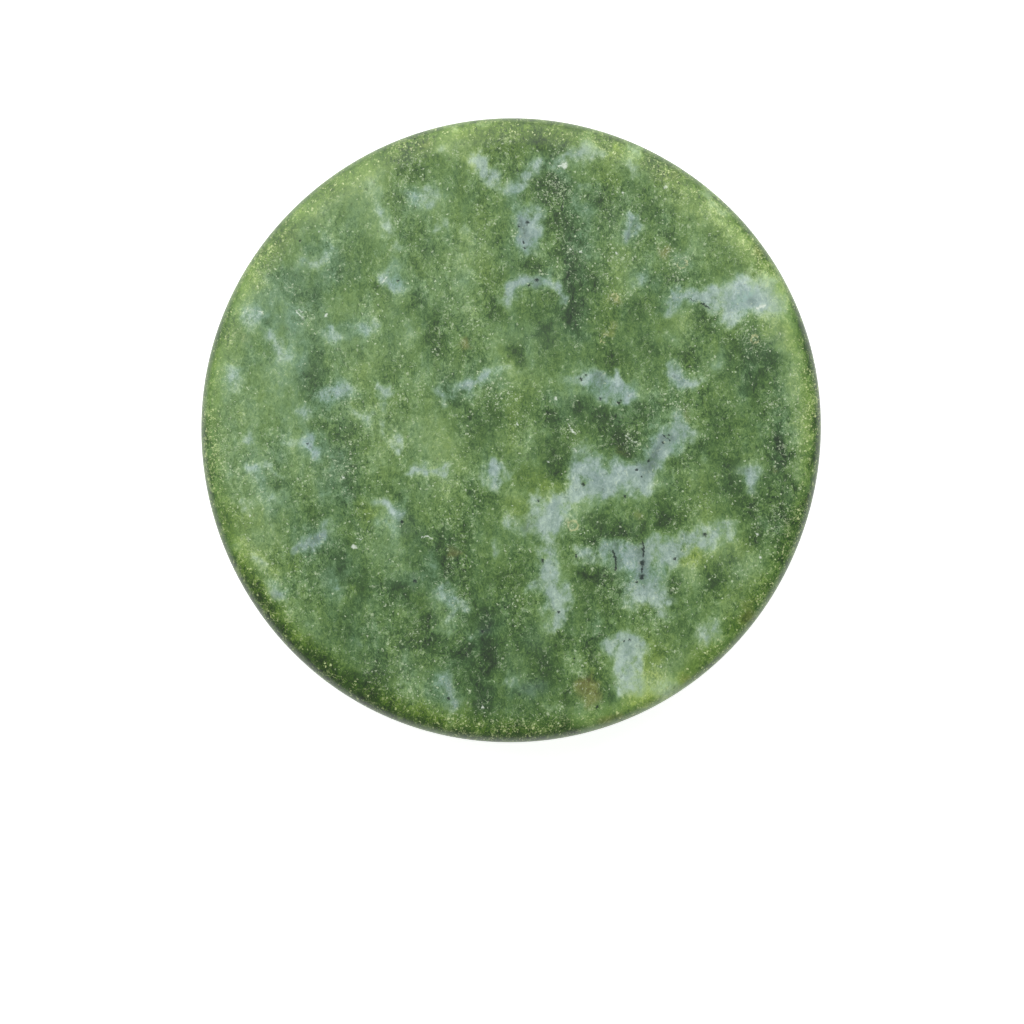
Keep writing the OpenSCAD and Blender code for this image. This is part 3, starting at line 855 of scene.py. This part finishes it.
# Where the polish has opened the grain and left a cluster of white flecks.
FLECKED = (
    ([(13.7, 13.2)], 0.75, 1.00),
    ([(9.7, -0.9)], 0.50, 0.80),
    ([(4.7, 0.3), (5.2, -0.5)], 0.55, 0.80),
    ([(19.6, 7.2)], 0.80, 0.80),
    ([(-1.0, 2.7)], 1.00, 0.80),
    ([(3.6, 19.3)], 0.90, 0.90),
    ([(1.0, 1.0)], 1.40, 0.45),
    ([(13.6, 1.6)], 0.50, 1.00),
    ([(12.5, 14.1)], 0.42, 0.80),
    ([(9.1, 11.1)], 0.38, 0.80),
    ([(5.0, -7.7)], 0.45, 0.80),
    ([(7.45, 7.3)], 0.42, 0.80),
    ([(8.3, 10.6)], 0.52, 0.80),
    ([(16.0, 18.0)], 0.80, 0.80),
    ([(19.6, 13.8), (20.4, 12.6)], 0.80, 0.60),
    # Along the right rim: a painted highlight, the sparkle in the bright band of the rolled edge.
    ([(23.4, 4.6), (23.8, 2.6), (23.6, 0.0)], 0.70, 0.80),
    ([(-23.8, -0.8), (-23.8, -3.6)], 0.70, 0.70),
    ([(-20.9, 12.2), (-19.2, 14.4)], 0.80, 0.55),
    ([(15.8, -5.4)], 0.55, 0.70),
    ([(21.8, -7.2)], 1.00, 0.45),
    ([(21.4, 2.0)], 0.90, 0.50),
    ([(-13.2, -3.6)], 0.60, 0.60),
    ([(3.6, -23.4), (-1.0, -23.8), (-4.8, -23.4)], 0.80, 0.65),
    ([(-8.4, -20.6)], 0.90, 0.45),
    ([(6.4, 23.0)], 1.00, 0.60),
    ([(12.8, 21.0)], 1.00, 0.55),
    ([(-8.4, 22.0)], 1.20, 0.45),
    ([(18.8, 15.0)], 0.80, 0.60),
    ([(-24.2, 1.2)], 0.40, 0.80),
    ([(13.0, -12.5)], 0.50, 0.60),
    ([(8.0, 13.4)], 1.00, 0.45),
    ([(-8.0, 3.0)], 1.00, 0.40),
)
# Where a pale patch turns to dark slate blue.
SLATE = (
    ([(0.6, 16.3), (1.0, 15.6)], 0.38, 0.80),
    ([(1.9, 11.9)], 0.40, 0.70),
    ([(6.6, 4.1), (7.0, 3.6)], 0.38, 0.65),
    ([(1.3, -7.6)], 0.50, 0.65),
    ([(10.7, -3.0), (11.3, -2.2)], 0.45, 0.75),
    ([(12.0, -1.3), (12.6, -0.6)], 0.45, 0.70),
    ([(1.4, -20.8), (2.5, -20.9)], 0.45, 0.60),
    ([(-2.3, -16.1)], 0.35, 0.70),
    ([(9.5, 15.6)], 0.40, 0.65),
    ([(19.0, 10.4)], 0.35, 0.55),
    ([(13.5, 4.2)], 0.35, 0.60),
    ([(-8.7, -7.3)], 0.38, 0.65),
    ([(21.4, 7.3)], 0.35, 0.55),
    ([(18.3, -3.2)], 0.40, 0.60),
    ([(8.3, -9.8), (8.4, -11.0)], 0.35, 0.50),
    ([(10.5, -9.2), (10.5, -10.6), (10.4, -12.0)], 0.38, 0.60),
    ([(-14.8, -8.4), (-15.4, -9.0)], 0.45, 0.50),
    ([(-17.0, -9.3)], 0.40, 0.35),
    ([(-19.2, -13.2)], 0.45, 0.45),
    ([(-7.7, -12.0)], 0.40, 0.50),
    ([(-5.0, -20.6), (-4.8, -22.0)], 0.45, 0.45),
)
# Dark mineral grains in the upper face: place in millimetres and radius.
GRAINS = (
    (1.30, 16.58, 0.17),
    (1.10, 14.55, 0.13),
    (1.00, 15.00, 0.10),
    (0.60, 16.30, 0.10),
    (2.05, 12.00, 0.14),
    (1.45, 11.60, 0.09),
    (5.60, 4.05, 0.13),
    (5.95, 4.35, 0.10),
    (7.15, 2.50, 0.13),
    (8.60, 2.15, 0.12),
    (8.80, 2.30, 0.10),
    (5.75, -4.35, 0.16),
    (2.20, -5.70, 0.12),
    (9.10, -5.35, 0.14),
    (10.05, -3.20, 0.12),
    (10.42, -3.75, 0.09),
    (11.00, -2.50, 0.12),
    (12.20, -1.05, 0.11),
    (12.60, -0.45, 0.10),
    (10.46, -9.10, 0.10),
    (10.55, -9.55, 0.12),
    (10.50, -10.65, 0.22),
    (10.45, -11.78, 0.22),
    (10.10, -12.20, 0.09),
    (13.10, -10.30, 0.13),
    (15.52, -8.42, 0.19),
    (2.50, -10.50, 0.13),
    (3.78, -14.60, 0.13),
    (5.20, -10.12, 0.11),
    (9.05, -16.92, 0.10),
    (9.45, -16.85, 0.10),
    (5.08, -18.35, 0.10),
    (-7.70, -12.10, 0.14),
    (-16.90, 15.10, 0.13),
    (-16.30, -1.10, 0.11),
    (6.90, -22.20, 0.11),
    (-5.00, -21.50, 0.12),
    (-2.30, -16.10, 0.13),
    (-8.75, -7.35, 0.13),
    (-9.05, 11.90, 0.12),
)
# Thin dark cracks in the upper face, and their half width.
CRACKS = (
    ([(8.15, -9.75), (8.36, -10.3), (8.40, -10.8), (8.32, -11.2)], 0.095),
    ([(10.50, -8.95), (10.62, -9.50), (10.55, -10.1)], 0.085),
    ([(10.55, -10.9), (10.46, -11.4)], 0.070),
    ([(15.20, 10.15), (15.85, 9.75)], 0.060),
    ([(14.10, 10.55), (14.90, 10.20)], 0.045),
    ([(12.10, -0.35), (12.75, -0.95)], 0.050),
    ([(4.20, 18.9), (4.10, 17.6)], 0.045),
)
# Painted glints: thin bright highlights along crystal borders in the upper face.
GLINTS = (
    ([(-21.45, 9.35), (-21.15, 9.55), (-20.70, 9.60), (-20.30, 9.48), (-19.95, 9.40)], 0.055),
    ([(-17.25, 9.55), (-16.95, 9.20), (-16.55, 8.80)], 0.065),
    ([(-17.00, 9.60), (-16.75, 9.45)], 0.055),
    ([(-9.95, 12.20), (-10.30, 11.75)], 0.070),
    ([(-10.60, 11.55), (-10.95, 11.30)], 0.050),
    ([(19.75, 9.72), (20.25, 9.90)], 0.120),
    ([(9.15, -0.45), (9.55, -0.75)], 0.060),
    ([(9.60, -0.90), (10.10, -1.10)], 0.065),
    ([(4.55, 0.50), (4.75, 0.05), (5.20, -0.35)], 0.060),
    ([(5.00, -1.55), (5.15, -1.75)], 0.090),
    ([(-7.20, -8.60), (-6.80, -8.50), (-6.30, -8.75)], 0.045),
    ([(3.80, 21.10), (4.40, 21.35)], 0.090),
    ([(16.3, 18.4), (16.0, 17.8)], 0.080),
)
# Rings of opened grain: place and radius.
RINGS = (
    (4.95, -7.70, 0.40),
    (7.45, 7.30, 0.32),
    (8.30, 10.60, 0.25),
    (13.70, 13.30, 0.38),
    (19.50, 7.25, 0.32),
)
# Painted glints: bright highlights on crystal faces in the upper face.
CRYSTAL_GLINTS = (
    (20.05, 9.85, 0.16),
    (-14.78, 9.15, 0.14),
    (-10.15, 11.95, 0.12),
    (-12.60, -9.35, 0.16),
    (-12.40, -9.38, 0.11),
    (-12.05, -8.75, 0.09),
    (-13.45, -3.85, 0.10),
    (-15.38, 15.85, 0.09),
    (4.30, 21.10, 0.20),
    (0.50, 0.48, 0.10),
    (3.55, 2.50, 0.12),
    (3.00, -2.55, 0.10),
    (3.85, -23.50, 0.14),
    (-2.25, -22.25, 0.12),
    (-4.90, -23.40, 0.12),
    (19.70, -8.35, 0.12),
    (19.95, -10.25, 0.10),
    (5.55, 14.25, 0.11),
    (4.72, 14.50, 0.09),
    (8.40, 14.15, 0.10),
    (23.08, -4.72, 0.14),
    (-14.15, -19.20, 0.11),
    (-20.90, -6.90, 0.09),
    (12.35, 19.40, 0.13),
    (8.95, 19.00, 0.10),
)


# ---------------------------------------------------------------- the minerals on the mesh
FACE_Z = THICKNESS / MM
FADE_DEPTH = 3.0
BURIED_SEED = 11


def near_stroke(points, stroke, width):
    """1 on the stroke and a smooth fall to 0 outside its half width."""
    path = [np.array(spot) for spot in stroke]
    ends = path[1:] or path
    nearest = np.full(len(points), 1e9)
    for start, end in zip(path, ends):
        along = end - start
        length = max(float(along @ along), 1e-9)
        share = np.clip((points - start) @ along / length, 0, 1)[:, None]
        nearest = np.minimum(nearest, np.linalg.norm(points - start - share * along, axis=1))
    return np.exp(-0.7 * (nearest / width) ** 1.8)


def buried_strokes(rng, count, width, strength):
    """Strokes that don't reach the upper face, with the depth of each one."""
    made = []
    for _ in range(count):
        radius = 25.5 * math.sqrt(rng.uniform(0, 1))
        angle = rng.uniform(0, math.tau)
        heading = rng.normal(math.pi / 2, 0.7)
        spot = np.array([radius * math.cos(angle), radius * math.sin(angle)])
        stroke = [spot]
        for _ in range(rng.integers(0, 4)):
            heading += rng.normal(0, 0.5)
            spot = spot + 1.1 * np.array([math.cos(heading), math.sin(heading)])
            stroke.append(spot)
        size = width * rng.uniform(0.6, 1.7)
        made.append((stroke, size, strength * rng.uniform(0.5, 1.3), rng.uniform(3.5, 10)))
    return made


def mineral(points, listed, rng, buried):
    """How much of one mineral is at each point, from 0 to 1."""
    free = np.ones(len(points))
    below = FACE_Z - points[:, 2]
    for stroke, width, strength in listed:
        lean = rng.normal(0, 0.25, 2)
        reach = FADE_DEPTH * rng.uniform(0.7, 1.6)
        shown = below < 2.2 * reach
        moved = points[shown, :2] - below[shown, None] * lean
        share = near_stroke(moved, stroke, width) * np.exp(-((below[shown] / reach) ** 2))
        free[shown] *= 1 - strength * share
    for stroke, width, strength, depth in buried:
        lean = rng.normal(0, 0.3, 2)
        away = below - depth
        shown = np.abs(away) < 4
        moved = points[shown, :2] - away[shown, None] * lean
        share = near_stroke(moved, stroke, width) * np.exp(-((away[shown] / 1.9) ** 2))
        free[shown] *= 1 - strength * share
    return 1 - free


def wandering(points, size, reach, seed):
    """The points, each pushed aside by a smooth noise of that grain size, in millimetres."""
    shift = np.array([noise.noise_vector(tuple(spot / size + seed)) for spot in points])
    return points + reach * shift


def lay_minerals(stone):
    """Writes each mineral on the stone's points."""
    mesh = stone.data
    flat = np.zeros(len(mesh.vertices) * 3)
    mesh.vertices.foreach_get("co", flat)
    points = flat.reshape(-1, 3) / MM
    bent = wandering(points, 1.7, 0.70, 7.0)
    bent = wandering(bent, 0.65, 0.40, 31.0)
    rng = np.random.default_rng(BURIED_SEED)
    kinds = {
        "pale": (PALE, buried_strokes(rng, 150, 0.70, 0.75)),
        "dark": (DARK, buried_strokes(rng, 110, 0.80, 0.55)),
        "light": (LIGHT, buried_strokes(rng, 40, 1.0, 0.4)),
        "lime": (LIME, buried_strokes(rng, 26, 0.65, 0.5)),
        "rust": (RUST, buried_strokes(rng, 22, 0.45, 0.5)),
        "flecked": (FLECKED, buried_strokes(rng, 36, 0.8, 0.6)),
        "slate": (SLATE, buried_strokes(rng, 24, 0.45, 0.5)),
        "warm": (WARM, buried_strokes(rng, 30, 1.3, 0.6)),
        "cool": (COOL, buried_strokes(rng, 30, 1.2, 0.6)),
    }
    for name, (listed, buried) in kinds.items():
        amount = mineral(bent, listed, rng, buried)
        layer = mesh.attributes.new(name, "FLOAT", "POINT")
        layer.data.foreach_set("value", amount.astype(np.float32))
    # Two masks that fall to 0 towards the rim, the first over a wider band. The finish uses both for
    # painted shade on the rolled edge, and the first also for the flecks and gloss there.
    inward = DIAMETER / MM / 2 - np.hypot(points[:, 0], points[:, 1])
    for name, start, width in (("ground", 0.9, 1.5), ("shoulder", 0.1, 0.7)):
        rim_inset = np.clip((inward - start) / width, 0, 1)
        layer = mesh.attributes.new(name, "FLOAT", "POINT")
        layer.data.foreach_set("value", (rim_inset * rim_inset * (3 - 2 * rim_inset)).astype(np.float32))


# ---------------------------------------------------------------- the stone's finish
def shown(red, green, blue):
    """A colour given as it looks on a screen, 0 to 255, made linear for the shader."""
    channels = []
    for part in (red, green, blue):
        part = part / 255
        channels.append(part / 12.92 if part <= 0.04045 else ((part + 0.055) / 1.055) ** 2.4)
    return (*channels, 1.0)


def stone_finish():
    """Polished mottled green stone."""
    material = bpy.data.materials.new("polished_green_stone")
    material.use_nodes = True
    graph = Graph(material.node_tree)

    object_place = graph.add("ShaderNodeTexCoord", None, None, "Object")
    place = graph.scaled(object_place, 1 / MM)

    def layer(name):
        return graph.add("ShaderNodeAttribute", {"attribute_name": name}, None, "Fac")

    def cloud(size, detail, stretch=(1, 1, 1), roughness=0.5, seed=0.0, swirl=0.0):
        """Smooth noise from 0 to 1 with blotches of about that size in millimetres."""
        spread = graph.vector("MULTIPLY", place, tuple(part / size for part in stretch))
        spread = graph.vector("ADD", spread, (seed, seed, seed))
        values = {"Vector": spread, "Scale": 1.0, "Detail": detail, "Roughness": roughness}
        values["Distortion"] = swirl
        return graph.add("ShaderNodeTexNoise", None, values)

    pale = layer("pale")
    dark = layer("dark")
    light = layer("light")
    lime = layer("lime")
    rust = layer("rust")
    flecked = layer("flecked")
    slate = layer("slate")
    warm = layer("warm")
    cool = layer("cool")
    ground = layer("ground")
    shoulder = layer("shoulder")

    foliated = (1.0, 0.45, 0.8)
    depth = graph.add("ShaderNodeSeparateXYZ", None, {0: place}, 2)
    deep = graph.step(depth, FACE_Z - 0.6, FACE_Z - 4.0)
    wide = cloud(4.2, 3, foliated, 0.5, 3.1)
    blotch = cloud(1.5, 4, foliated, 0.55, 11.7)
    mottle = cloud(0.62, 3, (1, 0.8, 1), 0.6, 23.9, 0.8)
    grit = cloud(0.26, 3, (1, 0.7, 1), 0.65, 5.3, 1.6)
    tint = cloud(1.1, 4, foliated, 0.6, 41.3)
    ragged = cloud(1.2, 6, (1, 0.8, 1), 0.66, 17.3)
    zone = cloud(2.8, 2, foliated, 0.5, 53.9)

    # How light the green is: the listed clouds first, then noise at each size of grain.
    coarse = graph.step(zone, 0.32, 0.68) * 0.5 + 0.85
    grain = ((mottle - 0.5) * 0.58 + (grit - 0.5) * 1.05) * coarse
    tone = 0.442 + (wide - 0.5) * (deep * 0.20 + 0.10) + (blotch - 0.5) * (deep * 0.20 + 0.38)
    tone = tone + light * 0.44 - dark * 0.50
    tone = tone + grain
    fringe = pale * (1 + (ragged - 0.5) * 2.4)
    tone = tone + graph.step(fringe, 0.0, 0.70) * 0.28
    green = graph.add(
        "ShaderNodeValToRGB",
        {
            "stops": (
                (0.00, shown(20, 48, 8)[:3]),
                (0.25, shown(56, 93, 30)[:3]),
                (0.50, shown(97, 133, 68)[:3]),
                (0.75, shown(131, 165, 106)[:3]),
                (1.00, shown(176, 206, 156)[:3]),
            )
        },
        {0: tone},
    )
    # Near the rim the lean to yellow is part of the painted shade on the rolled edge.
    lean = warm * 1.15 - cool * 1.3 + (tint - 0.5) * 2.4 + (grit - 0.5) * 2.2 + (1 - ground) * 0.20
    green = graph.blend(graph.clamped(lean), green, (1.06, 1.00, 0.64, 1), "MULTIPLY")
    green = graph.blend(graph.clamped(lean * -1), green, (0.93, 0.98, 1.75, 1), "MULTIPLY")
    # Towards pale grey-green where the lighter clouds are: the stone's own tone, and in the broad
    # strokes a painted reflection veil.
    green = graph.blend(light * 0.22, green, shown(132, 157, 132))
    green = graph.blend(lime * 0.75, green, (1.30, 1.14, 0.42, 1), "MULTIPLY")

    # Pale grey-blue patches that break up at their edges, bluer and darker in places.
    kept = pale * (1 - dark * 0.6)
    edge = kept * (1 + (ragged - 0.5) * 3.2 + (mottle - 0.5) * 1.0 + (grit - 0.5) * 0.7)
    pale_share = graph.step(edge, 0.20, 0.90)
    pale_tone = 0.60 + (ragged - 0.5) * 0.9 + (mottle - 0.5) * 0.6 + (grit - 0.5) * 0.7
    pale_tone = pale_tone + (tint - 0.5) * 0.6 + light * 0.22 - slate * 0.60
    milk = graph.add(
        "ShaderNodeValToRGB",
        {
            "stops": (
                (0.00, shown(82, 104, 92)[:3]),
                (0.30, shown(118, 143, 128)[:3]),
                (0.65, shown(154, 178, 166)[:3]),
                (1.00, shown(200, 221, 210)[:3]),
            )
        },
        {0: pale_tone},
    )
    milk = graph.blend(graph.clamped(lean * 0.8), milk, (0.96, 1.00, 0.80, 1), "MULTIPLY")
    milk = graph.blend(graph.clamped(lean * -0.5), milk, (0.98, 0.95, 1.14, 1), "MULTIPLY")
    colour = graph.blend(pale_share * 0.92, green, milk)
    colour = graph.blend(slate * 0.35, colour, shown(96, 112, 114))

    # Iron stains.
    stain = graph.step(rust + (mottle - 0.5) * 0.5 + (grit - 0.5) * 0.3, 0.15, 0.80)
    colour = graph.blend(stain * 0.45, colour, shown(138, 128, 68))

    # White flecks and dark pits, single ones everywhere and clusters where they are listed. Near the
    # rim the extra white flecks are painted glints on the rolled edge.
    torn = graph.vector("SUBTRACT", cloud_vector(graph, place, 0.22), (0.5, 0.5, 0.5))
    bent = graph.vector("ADD", place, graph.scaled(torn, 0.40))

    def specks(size, seed, chance, low, high):
        """Spots of that spacing in millimetres, each with its own size and strength."""
        spread = graph.vector("ADD", bent, (seed, seed, seed))
        values = {"Vector": spread, "Scale": 1 / size}
        away = graph.add("ShaderNodeTexVoronoi", None, values)
        kind = graph.add("ShaderNodeSeparateColor", None, {0: away.other("Color")})
        reach = kind.other("Green") * (high - low) + low
        strength = kind.other("Blue") * 0.75 + 0.25
        return graph.clamped((reach - away) / 0.12) * strength * (chance > kind)

    open_grain_and_rim_glints = graph.step(zone, 0.42, 0.66) * 0.16 + flecked * 0.62 + 0.03
    # Extra flecks near the rim: painted glints, the sparkle of the rolled edge.
    open_grain_and_rim_glints = open_grain_and_rim_glints + (1 - ground) * (0.12 - deep * 0.09)
    fleck = graph.math(
        "MAXIMUM",
        specks(0.40, 2.7, open_grain_and_rim_glints * 0.8, 0.10, 0.36),
        specks(0.20, 8.3, open_grain_and_rim_glints * 1.4, 0.20, 0.50),
    )
    fleck = fleck * (1 - pale_share * 0.45)
    # Short pale fibres felted together, thickest where the grain is open.
    thread = graph.math("ABSOLUTE", cloud(0.55, 1, (1, 1, 1), 0.5, 67.1, 1.4) - 0.5)
    felted = graph.step(mottle + open_grain_and_rim_glints * 0.30, 0.50, 0.66)
    thread = graph.step(thread, 0.030, 0.008) * felted
    pit = specks(0.30, 14.9, 0.14 + dark * 0.22, 0.18, 0.46)
    # The flecks' colour, whiter near the rim, where they are painted glints.
    pale_fleck_and_glint = graph.blend(1 - ground, shown(214, 230, 192), shown(238, 244, 206))
    colour = graph.blend(pit * 0.42, colour, shown(38, 62, 26))
    colour = graph.blend(thread * 0.34, colour, pale_fleck_and_glint)
    colour = graph.blend(fleck * 0.80, colour, pale_fleck_and_glint)

    # Dark mineral grains, and painted glints on crystal faces and borders, each where it is listed.
    def nearest_of(distances):
        nearest = distances[0]
        for distance in distances[1:]:
            nearest = graph.math("MINIMUM", nearest, distance)
        return nearest

    def away_from(spot):
        return graph.vector("DISTANCE", bent, spot).other("Value")

    def spots(listed):
        return [away_from((x, y, FACE_Z)) / radius for x, y, radius in listed]

    def rings(listed):
        """Thin broken rings: the distance from each circle's own line."""
        return [graph.math("ABSOLUTE", away_from((x, y, FACE_Z)) - r) / 0.07 for x, y, r in listed]

    def lines(listed):
        """Thin lines: the distance from each piece of a stroke."""
        found = []
        for stroke, width in listed:
            for start, end in zip(stroke, stroke[1:]):
                start = Vector((*start, FACE_Z))
                along = Vector((*end, FACE_Z)) - start
                offset = graph.vector("SUBTRACT", bent, tuple(start))
                share = graph.vector("DOT_PRODUCT", offset, tuple(along)).other("Value")
                share = graph.clamped(share / along.length_squared)
                rest = graph.vector("DISTANCE", offset, graph.scaled(tuple(along), share))
                found.append(rest.other("Value") / width)
        return found

    grains = graph.step(nearest_of(spots(GRAINS) + lines(CRACKS)), 1.45, 0.45)
    edge_glints = graph.step(nearest_of(lines(GLINTS)), 1.4, 0.4) * graph.step(mottle, 0.36, 0.56)
    crystal_glints = graph.math("MAXIMUM", graph.step(nearest_of(spots(CRYSTAL_GLINTS)), 1.4, 0.4), edge_glints)
    ringed = graph.step(nearest_of(rings(RINGS)), 1.5, 0.3) * graph.step(mottle + grit, 0.90, 1.15)
    colour = graph.blend(grains * 0.90, colour, shown(22, 38, 34))
    colour = graph.blend(ringed * 0.66, colour, shown(204, 206, 150))
    # Painted highlights: the glints of crystal faces and borders, near white.
    colour = graph.blend(crystal_glints * 0.80, colour, shown(232, 242, 226))

    # Painted shade on the rolled edge: a band next to the rim is made darker and more olive, as where
    # it reflects the dark surroundings.
    colour = graph.blend((1 - ground) * 0.85, colour, (0.84, 0.92, 0.55, 1), "MULTIPLY")
    # Painted shade: the outermost rim is darkened, as on its shaded side.
    colour = graph.blend((1 - shoulder) * 0.80, colour, (0.52, 0.56, 0.50, 1), "MULTIPLY")

    roughness = 0.34 + grit * 0.20 + pale_share * 0.08 + grains * 0.3
    gloss = graph.clamped(0.60 - fleck * 0.3 - grains * 0.6 - (1 - ground) * 0.2)
    relief = grit * 0.6 + mottle * 0.35 + fleck * 0.5 - grains * 1.2 - pit * 0.8
    bump = graph.add(
        "ShaderNodeBump",
        None,
        {"Strength": 0.35, "Distance": 0.02 * MM, "Height": relief},
    )
    surface = graph.add(
        "ShaderNodeBsdfPrincipled",
        None,
        {
            "Base Color": colour,
            "Roughness": roughness,
            "IOR": 1.54,
            "Coat Weight": gloss * 0.5,
            "Coat Roughness": 0.12,
            "Coat IOR": 1.5,
            "Normal": bump,
        },
    )
    end = material.node_tree.nodes.new("ShaderNodeOutputMaterial")
    material.node_tree.links.new(surface.socket, end.inputs["Surface"])
    return material


def cloud_vector(graph, place, size):
    """Noise with a separate value along each axis."""
    values = {"Vector": place, "Scale": 1 / size, "Detail": 2.0}
    return graph.add("ShaderNodeTexNoise", None, values, "Color")


# ---------------------------------------------------------------- floor, light and camera
# The floor's section in metres, outwards and up: flat, then swept up far from the disc.
FLOOR_SECTION = ((2.2, 0.0), (2.5, 0.03), (2.75, 0.12), (2.92, 0.28), (3.0, 0.5))
FLOOR_SIDES = 96


def make_floor():
    """A plain white round floor whose border sweeps up, so that there is no horizon."""
    mesh = bpy.data.meshes.new("floor")
    points = []
    for radius, height in FLOOR_SECTION:
        for side in range(FLOOR_SIDES):
            turn = math.tau * side / FLOOR_SIDES
            points.append((radius * math.cos(turn), radius * math.sin(turn), height))
    faces = [tuple(range(FLOOR_SIDES))]
    for ring in range(len(FLOOR_SECTION) - 1):
        for side in range(FLOOR_SIDES):
            near = ring * FLOOR_SIDES
            after = (side + 1) % FLOOR_SIDES
            far = near + FLOOR_SIDES
            faces.append((near + side, far + side, far + after, near + after))
    mesh.from_pydata(points, [], faces)
    mesh.shade_smooth()
    material = bpy.data.materials.new("white_table")
    material.use_nodes = True
    shader = material.node_tree.nodes["Principled BSDF"]
    shader.inputs["Base Color"].default_value = (0.93, 0.93, 0.93, 1)
    shader.inputs["Roughness"].default_value = 0.7
    shader.inputs["Emission Color"].default_value = (1, 1, 1, 1)
    shader.inputs["Emission Strength"].default_value = 0.74
    mesh.materials.append(material)
    floor = bpy.data.objects.new("floor", mesh)
    bpy.context.scene.collection.objects.link(floor)


def make_light(name, place, aim, size, power):
    """A square softbox that points from its place to aim."""
    data = bpy.data.lights.new(name, "AREA")
    data.shape = "RECTANGLE"
    data.size, data.size_y = size
    data.energy = power
    light = bpy.data.objects.new(name, data)
    light.location = place
    direction = np.array(aim) - np.array(place)
    light.rotation_euler = Vector(direction).to_track_quat("-Z", "Y").to_euler()
    light.visible_camera = False
    bpy.context.scene.collection.objects.link(light)


def make_world():
    world = bpy.data.worlds.new("studio")
    world.use_nodes = True
    background = world.node_tree.nodes["Background"]
    background.inputs["Color"].default_value = (0.97, 0.99, 1.0, 1)
    background.inputs["Strength"].default_value = 0.34
    bpy.context.scene.world = world


CAMERA_HEIGHT = 0.330
FRAME_WIDTH = 82.3 * MM
CAMERA_OFFSET = (0.07 * MM, -6.59 * MM)


def make_camera():
    """Straight above the disc, which lies a little beyond the middle of the frame."""
    data = bpy.data.cameras.new("camera")
    data.sensor_width = 36
    rim_top = THICKNESS - 1.35 * MM
    data.lens = 36 * (CAMERA_HEIGHT - rim_top) / FRAME_WIDTH
    data.clip_start = 0.01
    data.clip_end = 20
    camera = bpy.data.objects.new("camera", data)
    camera.location = (*CAMERA_OFFSET, CAMERA_HEIGHT)
    bpy.context.scene.collection.objects.link(camera)
    bpy.context.scene.camera = camera


make_camera()
make_world()
make_floor()
make_light("key softbox", (-0.06, 0.28, 0.32), (0, 0, 0), (0.80, 0.50), 2.35)
bpy.context.scene.view_settings.view_transform = "Standard"

stone = make_stone(stone_finish())
lay_minerals(stone)
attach(stone, "root")
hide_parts("stone_disc")
